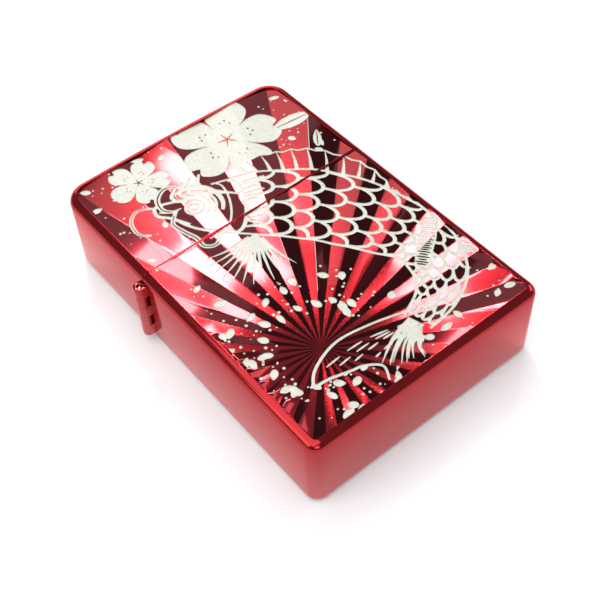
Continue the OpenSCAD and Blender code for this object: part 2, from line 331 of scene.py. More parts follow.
def case_path():
    """Front outline of the lower case, from the split on the right round to the split on the left."""
    x, y = HALF_W - BASE_R, BASE_Y + BASE_R
    start = ((HALF_W, SEAM_LOW - LIP), (1, 0))
    return ([start] + straight(start[0], (HALF_W, y), (1, 0), 12)
            + arc((x, y), BASE_R, 0, -90, 10)[1:]
            + straight((x, BASE_Y), (-x, BASE_Y), (0, -1), 12)
            + arc((-x, y), BASE_R, -90, -180, 10)[1:]
            + straight((-HALF_W, y), (-HALF_W, SEAM_LOW - LIP), (-1, 0), 12))


def lid_path():
    """Front outline of the lid, from the split on the left round to the split on the right."""
    lean = math.degrees(math.asin(CORNER_X / (CROWN_R - LID_R)))
    start = ((-HALF_W, SEAM_HIGH + LIP), (-1, 0))
    end = (HALF_W, SEAM_HIGH + LIP)
    return ([start] + straight(start[0], (-HALF_W, CORNER_Y), (-1, 0), 7)
            + arc((-CORNER_X, CORNER_Y), LID_R, 180, 90 + lean, 16)[1:]
            + arc((0, TOP_Y - CROWN_R), CROWN_R, 90 + lean, 90 - lean, 14)[1:]
            + arc((CORNER_X, CORNER_Y), LID_R, 90 - lean, 0, 16)[1:]
            + straight((HALF_W, CORNER_Y), end, (1, 0), 7))


def section(point, normal, inset, steps=9):
    """Across the sheet at one point of the outline: back rounding, side and front rounding."""
    r = EDGE_R - inset
    out = []
    for low, high, z in ((-90, 0, inset + r), (0, 90, DEPTH - inset - r)):
        for i in range(steps + 1):
            a = math.radians(low + (high - low) * i / steps)
            reach = r * math.cos(a) - r - inset
            out.append((point[0] + normal[0] * reach, point[1] + normal[1] * reach,
                        z + r * math.sin(a)))
    return out


def make_shell(name, path, split, shapes):
    """One half of the case: rounded sheet, rim, and the engraved field on its front."""
    ends = [((p[0], split), n) for p, n in (path[0], path[-1])]
    outer = ([section(*ends[0], LIP)] + [section(p, n, 0) for p, n in path]
             + [section(*ends[1], LIP)])
    inner = [section(p, n, WALL) for p, n in [ends[0]] + path + [ends[1]]]
    rows, cols = len(outer), len(outer[0])
    verts = [v for row in outer + inner for v in row]
    faces = grid_faces(rows, cols) + grid_faces(rows, cols, start=rows * cols)

    def at(layer, row, col):
        return layer * rows * cols + (row % rows) * cols + col % cols

    for row in (0, -1):
        faces += [[at(0, row, j), at(0, row, j + 1), at(1, row, j + 1), at(1, row, j)]
                  for j in range(cols - 1)]
    for col in (0, -1):
        faces.append([at(0, 0, col), at(0, -1, col), at(1, -1, col), at(1, 0, col)])
        faces.append([at(0, 1, col), at(0, -2, col), at(0, -1, col), at(0, 0, col)])
        faces.append([at(1, i, col) for i in range(rows)])
    faces.append([at(0, i, 0) for i in range(1, rows - 1)])
    slots = [INSIDE if min(face) >= rows * cols else LACQUER for face in faces]
    smooth = [True] * len(faces)

    rim = [row[-1][:2] for row in outer[1:-1]]
    more_verts, more_faces, more_slots = engraved_field(rim, shapes)
    offset = len(verts)
    verts += more_verts
    faces += [[offset + i for i in face] for face in more_faces]
    slots += more_slots
    smooth += [False] * len(more_faces)
    obj = make_object(name, verts, faces, face_slots=slots)
    obj.data.polygons.foreach_set("use_smooth", smooth)
    weld(obj, 0.0004)
    obj.data.set_sharp_from_angle(angle=math.radians(30))
    return obj


# ---- the engraved field --------------------------------------------------------------------------

def ray_falls():
    """How fast each ray line falls away from the focus: ridges stay level, valleys differ a little.

    Even lines are the ridges, but between the two swap lines on the right odd ones are.
    """
    rng = random.Random(11)
    falls = []
    for k in range(FACETS):
        ridge = 1 if k >= SWAP_FROM or k <= SWAP_TO else 0
        falls.append(0.0 if k % 2 == ridge else RAY_SLOPE * rng.uniform(0.93, 1.07))
    return falls


FALLS = ray_falls()


def facet_at(x, y):
    """Number of the facet that a point lies in; even ones are cut bright."""
    return int(((math.atan2(y - FOCUS[1], x - FOCUS[0]) - PHASE) % (2 * math.pi)) / STEP) % FACETS


def facet_height(x, y):
    """Height of the faceted surface: flat faces between neighbouring ray lines."""
    dx, dy = x - FOCUS[0], y - FOCUS[1]
    k = facet_at(x, y)
    a0, a1 = PHASE + k * STEP, PHASE + (k + 1) * STEP
    along0 = (dx * math.sin(a1) - dy * math.cos(a1)) / math.sin(STEP)
    along1 = (dy * math.cos(a0) - dx * math.sin(a0)) / math.sin(STEP)
    return DEPTH - along0 * FALLS[k] - along1 * FALLS[(k + 1) % FACETS]


def slot_at(level, x, y):
    """Material slot of the front at a point: even facets are cut bright and odd ones polished."""
    if level == "rim":
        return LACQUER
    if level == "ivory":
        return ETCHED
    return (BRIGHT_CUT, POLISHED)[facet_at(x, y) % 2]


def area(polygon):
    """Signed area of a polygon, positive when it runs anticlockwise."""
    return sum(a[0] * b[1] - b[0] * a[1] for a, b in zip(polygon, polygon[1:] + polygon[:1])) / 2


def shrink(window, amount):
    """A convex anticlockwise window moved in by an amount."""
    out = []
    for i, p in enumerate(window):
        n = side_of([window[i - 1], p, window[(i + 1) % len(window)]], 1)
        out.append((p[0] + n[0] * amount, p[1] + n[1] * amount))
    return out


def clip_line(a, b, window):
    """The stretch of a line inside a convex anticlockwise window, or None."""
    t0, t1 = 0.0, 1.0
    for i, p in enumerate(window):
        q = window[(i + 1) % len(window)]
        ex, ey = q[0] - p[0], q[1] - p[1]
        start = ex * (a[1] - p[1]) - ey * (a[0] - p[0])
        change = ex * (b[1] - a[1]) - ey * (b[0] - a[0])
        if abs(change) < 1e-12:
            if start < 0:
                return None
        elif change > 0:
            t0 = max(t0, -start / change)
        else:
            t1 = min(t1, -start / change)
    if t1 - t0 < 1e-6:
        return None
    return [(a[0] + (b[0] - a[0]) * t, a[1] + (b[1] - a[1]) * t) for t in (t0, t1)]


def field_plan(rim, shapes):
    """The rim, the field, every shape inside it and the ray lines, as one set of numbered points.

    shapes are (level, polygon) from back to front, where level is "red" or "ivory". Returns the
    points, the ray lines, the polygons and each polygon's level.
    """
    window = shrink(rim, BORDER * 1.4)
    outlines = [("rim", rim), ("red", shrink(rim, BORDER))]
    for level, shape in shapes:
        shape = clip(shape, window)
        if len(shape) > 2 and abs(area(shape)) > LEAST_AREA:
            outlines.append((level, shape if area(shape) > 0 else shape[::-1]))
    points, lines, polygons = [], [], []
    for _, outline in outlines:
        polygons.append(list(range(len(points), len(points) + len(outline))))
        points.extend(Vector(p) for p in outline)
    within = shrink(rim, BORDER / 2)
    for k in range(FACETS):
        line = clip_line(FOCUS, polar(FOCUS, FAR, math.degrees(PHASE + k * STEP)), within)
        if line:
            lines.append((len(points), len(points) + 1))
            points.extend(Vector(p) for p in line)
    return points, lines, polygons, [level for level, _ in outlines]


def engraved_field(rim, shapes):
    """Cuts the flat front inside rim into facets and engraved shapes, with walls between levels."""
    if area(rim) < 0:
        rim = rim[::-1]
    points, lines, polygons, levels = field_plan(rim, shapes)
    inside_only, tolerance = 1, 1e-5
    flat, _, triangles, _, _, sources = delaunay_2d_cdt(points, lines, polygons, inside_only, tolerance)
    verts, index, faces, slots, sides = [], {}, [], [], {}

    def vertex(i, level):
        x, y = flat[i]
        z = DEPTH if level == "rim" else facet_height(x, y)
        z -= ENGRAVED if level == "ivory" else 0
        key = (i, round(z, 5))
        if key not in index:
            index[key] = len(verts)
            verts.append((x, y, z))
        return index[key]

    # polygon 0 is the rim and polygon 1 the field; the last polygon round a triangle lies on top
    for triangle, source in zip(triangles, sources):
        if not source:
            continue
        level = levels[max(source)] if 1 in source else "rim"
        faces.append([vertex(i, level) for i in triangle])
        middle = [sum(flat[i][k] for i in triangle) / 3 for k in (0, 1)]
        slots.append(slot_at(level, *middle))
        for i, a in enumerate(triangle):
            b = triangle[(i + 1) % len(triangle)]
            sides.setdefault((min(a, b), max(a, b)), []).append(level)
    for (a, b), meet in sides.items():
        if len(meet) == 2 and meet[0] != meet[1]:
            wall = [vertex(a, meet[0]), vertex(b, meet[0]), vertex(b, meet[1]), vertex(a, meet[1])]
            wall = [v for i, v in enumerate(wall) if v not in wall[:i]]
            if len(wall) > 2:
                faces.append(wall)
                slots.append(ETCHED if "ivory" in meet else LACQUER)
    return verts, faces, slots


# ---- the motif: a carp rising past blossoms ------------------------------------------------------

# (x, y, half width) along the carp's middle line, snout to tail root
SPINE = spline([(-9.4, 15.2, 0.9), (-7.2, 13.0, 3.2), (-3.6, 10.6, 4.9), (2.0, 7.0, 6.2),
                (7.2, 1.8, 6.6), (11.0, -5.4, 5.9), (12.9, -11.9, 4.5), (11.4, -17.0, 3.7),
                (7.8, -20.2, 2.7), (3.2, -21.6, 1.9)], 10)


def on_body(u, t, out=0.0):
    """A point on the carp: u from snout 0 to tail root 1, t from belly -1 to back +1."""
    place = min(max(u, 0.0), 1.0) * (len(SPINE) - 1)
    i = min(int(place), len(SPINE) - 2)
    f = place - i
    x, y, w = (SPINE[i][k] * (1 - f) + SPINE[i + 1][k] * f for k in range(3))
    n0, n1 = side_of(SPINE, i), side_of(SPINE, i + 1)
    nx, ny = n0[0] * (1 - f) + n1[0] * f, n0[1] * (1 - f) + n1[1] * f
    reach = t * w + out
    return (x + nx * reach, y + ny * reach)


def body_line(u0, u1, t, steps):
    """A line along the carp at a constant t."""
    return [on_body(u0 + (u1 - u0) * i / steps, t) for i in range(steps + 1)]


def scales():
    """Overlapping scale edges in staggered rows, smaller towards the tail."""
    out = []
    u, last, column = 0.29, 0.96, 0
    row_gap, half_width = 0.48, 0.25      # shares of the carp's half width
    while u < last:
        pitch = 0.054 - 0.018 * u
        rows = 4 if column % 2 else 5
        for row in range(rows):
            middle = (row - (rows - 1) / 2) * row_gap
            points = []
            for i in range(13):
                a = math.radians(-90 + 15 * i)
                t = middle + half_width * math.sin(a)
                if abs(t) < 0.99:
                    points.append(on_body(u + pitch * 1.08 * math.cos(a) ** 0.75, t))
            out.append(pale(points, 0.72 - 0.26 * u, 0.62))
        u += pitch
        column += 1
    return out


def pectoral_fin():
    """The fin below the gills: rays that run out from a filled root."""
    root, heading, spread, length, rays = (-2.8, 3.6), 226, 84, 9.2, 12
    first = heading - spread / 2
    out = [("ivory", [root] + [polar(root, length * 0.34, first + spread * i / 8) for i in range(9)])]
    for k in range(rays):
        f = k / (rays - 1)
        reach = length * (0.86 + 0.14 * math.sin(math.pi * f))
        bend = (f - 0.5) * 14
        line = [polar(root, reach * s, first + spread * f + bend * s * s)
                for s in (0.15, 0.35, 0.55, 0.75, 0.9, 1)]
        out.append(("ivory", tail_stroke(line, 0.6)))
    return out


def dorsal_fin():
    """A fin with a scalloped crest and a ray to every second scallop."""
    steps = 26
    crest, base = [], body_line(0.3, 0.62, 1.0, steps)
    for i in range(steps + 1):
        f = i / steps
        rise = 3.9 * math.sin(math.pi * min(f * 1.15 + 0.12, 1)) ** 0.7 + 0.35 * (i % 2)
        crest.append(on_body(0.28 + 0.34 * f, 1.0, rise))
    out = [("red", base + crest[::-1]), pale(crest, 0.34, 0.4)]
    for i in range(1, steps, 2):
        middle = ((base[i][0] + crest[i][0]) / 2 + 0.12, (base[i][1] + crest[i][1]) / 2)
        out.append(("ivory", tail_stroke([base[i], middle, crest[i]], 0.62)))
    return out


def tail_fin():
    """A long upper lobe with broken rays in it, and a lower lobe of loose strokes."""
    edge = spline([(3.4, -19.6), (-1.4, -18.2), (-6.6, -17.5), (-11.0, -18.9), (-12.8, -20.8),
                   (-10.8, -21.2), (-8.4, -21.9), (-6.2, -22.5), (-4.6, -24.0), (-5.4, -26.0)], 6)
    root = (3.4, -21.4)
    out = [("red", [root] + edge), pale(edge, 0.42, 0.5)]
    for k, tip in enumerate(((-11.6, -19.8), (-9.6, -20.6), (-7.2, -21.2), (-4.6, -22.4))):
        middle = ((root[0] + tip[0]) / 2, (root[1] + tip[1]) / 2 + 1.1 - 0.35 * k)
        ray = spline([root, middle, tip], 14)
        for start in range(2 + k, len(ray) - 4, 6):
            out.append(pale(ray[start:start + 5], 0.3, 0.8))
    rng = random.Random(21)
    for k in range(13):
        f = k / 12
        start = (3.6 - 1.4 * f + rng.uniform(-0.6, 0.6), -20.6 - 3.4 * f)
        end = (-4.6 + 5.4 * f + rng.uniform(-0.7, 0.7), -23.6 - 2.9 * f + rng.uniform(-0.4, 0.4))
        bow = ((start[0] + end[0]) / 2 - 0.3, (start[1] + end[1]) / 2 + 0.5)
        out.append(("ivory", tail_stroke(spline([start, bow, end], 4), 0.62)))
    return out


def hatched_fin():
    """The pelvic fin laid across the body: a pale band with dark hatching."""
    line = spline([(16.6, -9.6), (14.6, -11.6), (12.2, -13.4), (9.6, -15.4)], 8)
    out = [pale(line, 2.3, 0.55)]
    for i in range(2, len(line) - 2):
        n = side_of(line, i)
        reach = 0.55 + 0.3 * (i % 2)
        ends = [(line[i][0] + n[0] * s * reach, line[i][1] + n[1] * s * reach) for s in (-1, 0, 1)]
        out.append(("red", stroke(ends, 0.22, 0.6)))
    return out


def ribbon(points, width):
    """A barbel: a pale band with a thin dark line along its middle."""
    line = spline(points, 7)
    return [pale(line, width, 0.75), ("red", stroke(line[3:-3], width * 0.2, 0.8))]


def gills():
    """The two edges of the gill cover and the curls behind it."""
    out = []
    for u, width in ((0.25, 0.62), (0.215, 0.34)):
        edge = []
        for i in range(13):
            a = math.radians(-90 + 15 * i)
            edge.append(on_body(u + 0.035 * math.cos(a), 0.96 * math.sin(a)))
        out.append(pale(edge, width, 0.3))
    for t in (-0.62, -0.2, 0.22, 0.62):
        curl = spline([on_body(0.275, t - 0.14), on_body(0.315, t - 0.02), on_body(0.285, t + 0.1),
                       on_body(0.325, t + 0.22)], 6)
        out.append(pale(curl, 0.6, 0.7))
    return out


def eye():
    """Rings and pupil, the lines of the cheek round them and the curls over the brow."""
    middle = on_body(0.135, 0.12)
    out = []
    for r, level in ((1.5, "ivory"), (1.12, "red"), (0.78, "ivory"), (0.34, "red")):
        out.append((level, disc(middle, r, 18)))
    for k, width in enumerate((0.34, 0.5, 0.8)):
        cheek = arc_points(middle, 2.15 + 0.9 * k, -72 + 12 * k, 76 + 12 * k, 18)
        out.append(pale(cheek, width, 0.7))
    for k in range(4):
        x, y = on_body(0.07 + 0.04 * k, 0.8)
        curl = spline([on_body(0.2 + 0.025 * k, 0.7 - 0.1 * k), (x, y),
                       (x - 0.7, y + 1.4), (x + 0.8, y + 2.6 + 0.25 * k)], 6)
        out.append(pale(curl, 0.62, 0.8))
    return out


def mouth():
    """The lips, the line between them and the jaw."""
    x, y = on_body(0.0, 0.0)
    lips = spline([on_body(0.1, 0.55), on_body(0.03, 1.0), (x - 1.1, y + 1.1), (x - 1.8, y - 0.4),
                   (x - 0.8, y - 1.7), on_body(0.06, -0.9), on_body(0.12, -0.8)], 6)
    line = spline([(x - 1.3, y - 0.1), (x + 0.1, y - 1.0), (x + 1.6, y - 1.2)], 6)
    jaw = spline([on_body(0.06, -0.9), (-9.0, 10.6), (-7.6, 8.4), (-5.2, 6.2), on_body(0.245, -0.98)], 7)
    return [pale(lips, 0.56, 0.5), pale(line, 0.4, 0.7), pale(jaw, 0.5, 0.5)]


def barbels():
    """One long barbel over the snout, one below it and a short one in front."""
    return (ribbon([(-5.2, 17.0), (-7.2, 18.7), (-9.4, 17.5), (-10.0, 15.2), (-8.6, 13.7)], 0.85)
            + ribbon([(-8.6, 14.0), (-10.4, 12.2), (-10.1, 10.0), (-9.5, 8.0), (-9.5, 6.1), (-8.0, 5.4),
                      (-6.4, 6.9)], 0.8)
            + ribbon([(-10.8, 16.4), (-12.9, 17.4), (-14.6, 16.2), (-15.0, 13.8), (-13.8, 12.4)], 0.6))


def blossom(centre, size, turn):
    """Five notched petals with a red star and stamens at the middle."""
    petal = [(0.0, -0.01), (0.28, -0.205), (0.5, -0.34), (0.74, -0.39), (0.92, -0.28), (1.0, -0.11),
             (0.88, 0.0), (1.0, 0.11), (0.92, 0.28), (0.74, 0.39), (0.5, 0.34), (0.28, 0.205), (0.0, 0.01)]

    def place(x, y, k):
        a = math.radians(turn + 72 * k)
        ca, sa = math.cos(a), math.sin(a)
        return (centre[0] + size * (x * ca - y * sa), centre[1] + size * (x * sa + y * ca))

    out = []
    for k in range(5):
        out.append(("ivory", [place(x, y, k) for x, y in spline(petal, 3)]))
        for x, y in ((0.42, -0.07), (0.5, 0.02), (0.44, 0.1)):
            out.append(("red", disc(place(x, y, k), size * 0.017, 6)))
    for k in range(5):
        line = [polar(centre, size * s, turn + 36 + 72 * k) for s in (0.0, 0.09, 0.18)]
        out.append(("red", tail_stroke(line, size * 0.03)))
    return out


def loose_petal(rng, spot, length, width):
    """A leaf with a random length and width in those ranges, turned at random."""
    return ("ivory", leaf(spot, rng.uniform(*length), rng.uniform(*width), rng.uniform(0, 360)))


def scattered():
    """Loose petals and dots, thick round the focus and along the edges."""
    rng = random.Random(5)
    out = []
    # (radius, petals, first direction, sweep) of each arc of petals round the focus
    for radius, count, start, sweep in ((7.6, 11, 20, 190), (11.4, 12, 35, 170), (6.4, 8, 205, 120)):
        for k in range(count):
            a = start + sweep * (k + rng.uniform(-0.25, 0.25)) / (count - 1)
            spot = polar(FOCUS, radius * rng.uniform(0.88, 1.12), a)
            out.append(loose_petal(rng, spot, (1.35, 1.8), (0.85, 1.1)))
            for _ in range(3):
                near = polar(spot, rng.uniform(1.1, 2.0), rng.uniform(0, 360))
                out.append(("ivory", disc(near, rng.uniform(0.12, 0.24), 8)))
    # (middle, half width, half height, petals, dots) of each drift
    drifts = (((-13.2, 14.6), 4.0, 8.5, 4, 26), ((-9.0, 25.2), 7.5, 1.8, 3, 14),
              ((13.6, 17.4), 3.6, 7.2, 4, 24), ((15.2, -19.6), 2.6, 6.2, 6, 20),
              ((-15.2, -10.5), 2.2, 12.0, 7, 20), ((-3.5, -25.6), 12.0, 1.6, 9, 22),
              ((15.6, -4.0), 1.6, 7.0, 1, 7), ((0.5, -14.6), 3.5, 2.2, 4, 8))
    for middle, w, h, petals, dots in drifts:
        for k in range(petals + dots):
            spot = (middle[0] + rng.uniform(-w, w), middle[1] + rng.uniform(-h, h))
            if k < petals:
                out.append(loose_petal(rng, spot, (1.3, 2.0), (0.8, 1.1)))
            else:
                out.append(("ivory", disc(spot, rng.uniform(0.11, 0.23), 8)))
    return out


def ridge_highlight_lines():
    """Thin bright lines along some of the even ray lines: painted highlights for the shine that the ridges
    catch.
    """
    rng = random.Random(3)
    out = []
    for k in range(0, FACETS, 2):
        if rng.random() < 0.55:
            a = math.degrees(PHASE + k * STEP)
            near, reach = rng.uniform(9, 16), rng.uniform(22, 60)
            line = [polar(FOCUS, r, a) for r in (near, (near + reach) / 2, reach)]
            out.append(pale(line, 0.13, 0.8))
    return out


def motif():
    """Every engraved shape, from back to front."""
    body = body_line(0, 1, 1.0, 40) + body_line(1, 0, -1.0, 40)
    shapes = ridge_highlight_lines() + scattered()
    shapes += blossom((5.3, 21.0), 8.2, 57) + blossom((-9.5, 22.0), 4.5, 46)
    # (middle, length, width, direction) of the two leaves
    for middle, length, width, turn in (((14.7, 18.0), 6.4, 2.7, 172), ((15.4, 12.6), 3.6, 1.3, 55)):
        tip, stem = (polar(middle, length * s, turn) for s in (0.36, -0.4))
        shapes += [("ivory", leaf(middle, length, width, turn)),
                   ("red", stroke([tip, middle, stem], 0.16, 0.9))]
    shapes += tail_fin() + dorsal_fin()
    shapes += [("red", body)] + scales()
    shapes += [pale(body_line(0.2, 1, side, 40), 0.42, 0.2) for side in (1, -1)]
    shapes += hatched_fin() + gills() + eye() + mouth() + barbels() + pectoral_fin()
    return shapes


# ---- materials -----------------------------------------------------------------------------------

def new_material(name, **sockets):
    """A Principled material with these socket values; returns it with its node tree and shader."""
    material = bpy.data.materials.new(name)
    material.use_nodes = True
    tree = material.node_tree
    shader = tree.nodes["Principled BSDF"]
    for key, value in sockets.items():
        shader.inputs[key.replace("_", " ")].default_value = value
    return material, tree, shader


def add_node(tree, kind, feeds=None, values=None, **settings):
    """A shader node; feeds maps its inputs to outputs of other nodes, values maps them to numbers."""
    node = tree.nodes.new("ShaderNode" + kind)
    for key, value in settings.items():
        setattr(node, key, value)
    for key, value in (values or {}).items():
        node.inputs[key].default_value = value
    for key, output in (feeds or {}).items():
        tree.links.new(output, node.inputs[key])
    return node


def object_coords(tree):
    return add_node(tree, "TexCoord").outputs["Object"]


def noise(tree, scale, detail=4.0, stretch=(1, 1, 1), rough=0.55):
    """Noise in object space, stretched along the axes; returns its factor output."""
    mapping = add_node(tree, "Mapping", {"Vector": object_coords(tree)}, {"Scale": stretch})
    texture = add_node(tree, "TexNoise", {"Vector": mapping.outputs["Vector"]},
                       {"Scale": scale, "Detail": detail, "Roughness": rough})
    return texture.outputs["Fac"]


def ramp(tree, factor, stops):
    """Colour ramp over a factor; stops are (position, colour)."""
    node = add_node(tree, "ValToRGB", {"Fac": factor})
    while len(node.color_ramp.elements) < len(stops):
        node.color_ramp.elements.new(0.5)
    for element, (position, colour) in zip(node.color_ramp.elements, stops):
        element.position = position
        element.color = (*colour, 1)
    return node.outputs["Color"]


def span(tree, value, low, high, start=0.0, end=1.0):
    """Maps a value that runs from start to end onto the range low to high."""
    ends = {"From Min": start, "From Max": end, "To Min": low, "To Max": high}
    return add_node(tree, "MapRange", {"Value": value}, ends).outputs["Result"]


def bump(tree, shader, factor, strength, distance):
    """Roughens a surface; distance is the height of the bumps in metres."""
    node = add_node(tree, "Bump", {"Height": factor}, {"Strength": strength, "Distance": distance})
    tree.links.new(node.outputs["Normal"], shader.inputs["Normal"])


def along_rays(tree, shader, amount):
    """Stretches the shine across hairlines that run out from the focus."""
    focus = (FOCUS[0] * MM, FOCUS[1] * MM, DEPTH * MM)
    outward = add_node(tree, "VectorMath", {0: object_coords(tree)}, {1: focus}, operation="SUBTRACT")
    across = add_node(tree, "VectorMath", {1: outward.outputs[0]}, {0: (0, 0, 1)},
                      operation="CROSS_PRODUCT")
    unit = add_node(tree, "VectorMath", {0: across.outputs[0]}, operation="NORMALIZE")
    tree.links.new(unit.outputs[0], shader.inputs["Tangent"])
    shader.inputs["Anisotropic"].default_value = amount


def painted_floor_glow_to_back(tree, shader, colour, coat, painted_floor_glow):
    """Painted reflection of the lit floor: mixes a colour towards a paler one, and thickens the clear
    coat, from the front edge to the back, which lies on the floor.
    """
    split = add_node(tree, "SeparateXYZ", {0: object_coords(tree)})
    depth = span(tree, split.outputs["Z"], 0.0, 1.0, DEPTH * MM, 0.0)
    mix = add_node(tree, "Mix", {"Factor": depth, "A": colour}, {"B": (*painted_floor_glow, 1)}, data_type="RGBA")
    tree.links.new(span(tree, depth, coat, 1.0), shader.inputs["Coat Weight"])
    return mix.outputs["Result"]


def candy(name, low, high, rough, coat, coat_rough=0.03, hairline=0.0, painted_floor_glow=None):
    """Translucent red lacquer over bare metal; rough is the range of the metal's roughness.

    hairline is how far the shine is stretched across the rays, and the last argument is the colour that
    the lacquer pales to from the front edge to the back, a painted reflection of the lit floor.
    """
    material, tree, shader = new_material(name, Metallic=1.0, Coat_Weight=coat, Coat_IOR=1.4,
                                          Coat_Roughness=coat_rough,
                                          Specular_Tint=(1.0, 0.45, 0.47, 1.0))
    colour = ramp(tree, noise(tree, 90, 3), [(0.3, low), (0.7, high)])
    # painted reflection of the lit floor: the lacquer pales, and its coat thickens, towards the back
    if painted_floor_glow:
        colour = painted_floor_glow_to_back(tree, shader, colour, coat, painted_floor_glow)
    tree.links.new(colour, shader.inputs["Base Color"])
    tree.links.new(span(tree, noise(tree, 700, 5), *rough), shader.inputs["Roughness"])
    bump(tree, shader, noise(tree, 500, 2), 0.02, 0.00002)
    if hairline:
        along_rays(tree, shader, hairline)
    return material


def grained(name, grain, dark, light, rough, bumps, **sockets):
    """A material with one noise in its colour, its roughness and its bumps; grain sets the noise."""
    material, tree, shader = new_material(name, **sockets)
    factor = noise(tree, *grain)
    tree.links.new(ramp(tree, factor, [(0.3, dark), (0.7, light)]), shader.inputs["Base Color"])
    tree.links.new(span(tree, factor, *rough), shader.inputs["Roughness"])
    bump(tree, shader, factor, *bumps)
    return material


def ivory_silver():
    """Etched bare metal: pale, matt and slightly grainy."""
    return grained("etched_silver", (2600, 4), (0.44, 0.44, 0.385), (0.56, 0.56, 0.49), (0.38, 0.55),
                   (0.25, 0.00001), Metallic=0.25, Specular_IOR_Level=0.5)


def metal(name, dark, light, rough, stretch, scale=900, anisotropic=0.0):
    """Bare metal with grain drawn out along one direction."""
    return grained(name, (scale, 6, stretch), dark, light, rough, (0.12, 0.00002), Metallic=1.0,
                   Anisotropic=anisotropic)


def fibre(name, dark, light, scale, stretch, strength=0.6):
    """Cotton, felt or rayon: matt with a fibrous surface."""
    material, tree, shader = new_material(name, Roughness=0.9, Sheen_Weight=0.3,
                                          Specular_IOR_Level=0.2)
    strands = noise(tree, scale, 8, stretch, 0.7)
    tree.links.new(ramp(tree, strands, [(0.3, dark), (0.65, light)]), shader.inputs["Base Color"])
    bump(tree, shader, strands, strength, 0.0002)
    return material


# the red lacquer paling towards the back is a painted reflection of the lit floor
RED = candy("candy_red", (0.31, 0.009, 0.013), (0.37, 0.014, 0.018), (0.08, 0.15), coat=0.4,
            painted_floor_glow=(0.5, 0.12, 0.12))
BRIGHT_RED = candy("bright_cut_rays", (0.27, 0.008, 0.012), (0.32, 0.011, 0.016), (0.12, 0.14), coat=0.8,
                   coat_rough=0.06, hairline=0.6)
# polished facets: the red lacquer with its base colour painted near black, a painted dark reflection
PAINTED_DARK_RED = candy("polished_rays_painted_dark", (0.065, 0.004, 0.006), (0.08, 0.005, 0.008), (0.05, 0.09), coat=0.35)
IVORY = ivory_silver()
INNER = metal("inner_sheet", (0.42, 0.40, 0.36), (0.62, 0.60, 0.55), (0.22, 0.42), (1, 0.1, 1))
STEEL = metal("brushed_steel", (0.50, 0.50, 0.50), (0.72, 0.72, 0.71), (0.2, 0.36), (1, 0.06, 1),
              anisotropic=0.4)
PRESSED = metal("pressed_steel", (0.46, 0.45, 0.43), (0.70, 0.70, 0.69), (0.22, 0.4), (0.15, 1, 1))
SPRING_STEEL = metal("spring_steel", (0.34, 0.35, 0.37), (0.55, 0.56, 0.58), (0.2, 0.34), (1, 1, 1))
BRASS = metal("brass", (0.55, 0.38, 0.14), (0.75, 0.56, 0.26), (0.16, 0.34), (1, 0.2, 1))
HARD_STEEL = metal("hardened_steel", (0.07, 0.07, 0.075), (0.2, 0.2, 0.21), (0.3, 0.5), (1, 1, 1))
COPPER = metal("copper", (0.5, 0.2, 0.1), (0.75, 0.36, 0.2), (0.25, 0.4), (1, 1, 1))
FLINT = metal("flint", (0.1, 0.095, 0.09), (0.24, 0.22, 0.21), (0.5, 0.75), (1, 1, 1), 1600)
COTTON = fibre("braided_cotton", (0.55, 0.51, 0.42), (0.82, 0.79, 0.7), 2200, (1, 0.2, 1))
RAYON = fibre("rayon_wadding", (0.74, 0.74, 0.72), (0.93, 0.93, 0.91), 900, (0.3, 1, 0.5), 0.9)
FELT = fibre("wool_felt", (0.6, 0.57, 0.48), (0.8, 0.77, 0.68), 1500, (1, 1, 1), 0.8)


# ---- the pieces ----------------------------------------------------------------------------------

def ring_section(centre, normal, side, radius, sides):
    """Points round a wire at one place on its path."""
    return [centre + (normal * math.cos(a) + side * math.sin(a)) * radius
            for a in (2 * math.pi * i / sides for i in range(sides))]


def wire(name, path, radius, sides):
    """Round wire along a path of points, with closed ends."""
    points = [Vector(p) for p in path]
    verts = []
    normal = None
    for i, p in enumerate(points):
        along = (points[min(i + 1, len(points) - 1)] - points[max(i - 1, 0)]).normalized()
        if normal is None:
            normal = along.orthogonal().normalized()
        normal = (normal - along * normal.dot(along)).normalized()
        verts += ring_section(p, normal, along.cross(normal), radius, sides)
    return make_object(name, verts, tube_faces(len(points), sides))


def prism(name, outline, low, high, place, bevel):
    """An outline (u, v) drawn out from low to high along w; place turns (u, v, w) into x, y, z."""
    verts = [place(u, v, w) for w in (low, high) for u, v in outline]
    obj = make_object(name, verts, tube_faces(2, len(outline)), smooth=False)
    add_bevel(obj, bevel, 3)
    apply_modifiers(obj)
    sharpen(obj, 32)
    return obj


def rounded_rectangle(low, high, radius, steps=5):
    """Anticlockwise outline of a rectangle with round corners."""
    out = []
    for cu, cv, a0 in ((1, 1, 0), (0, 1, 90), (0, 0, 180), (1, 0, 270)):
        centre = [(low[k] + radius, high[k] - radius)[c] for k, c in ((0, cu), (1, cv))]
        out += arc_points(centre, radius, a0, a0 + 90, steps)
    return out


def merge(name, objs):
    """Joins meshes into the first one."""
    bm = bmesh.new()
    for obj in objs:
        bm.from_mesh(obj.data)
    bm.to_mesh(objs[0].data)
    bm.free()
    for obj in objs[1:]:
        bpy.data.objects.remove(obj)
    objs[0].name = name
    return objs[0]


PIN_LO, PIN_HI = box_mm("hinge_pin")
PIN_R = (PIN_HI[0] - PIN_LO[0]) / 2
KNUCKLE_R = PIN[0] - box_mm("hinge_lower_leaf")[0][0]
KNUCKLE_GAP = 0.06    # between neighbouring knuckles
KNUCKLES = 5
KNUCKLE_L = (PIN_HI[2] - PIN_LO[2] - (KNUCKLES - 1) * KNUCKLE_GAP) / KNUCKLES
LEAF_HALF = 0.225     # half the thickness of a leaf's plate
LEAF_MID = -HALF_W + WALL + LEAF_HALF


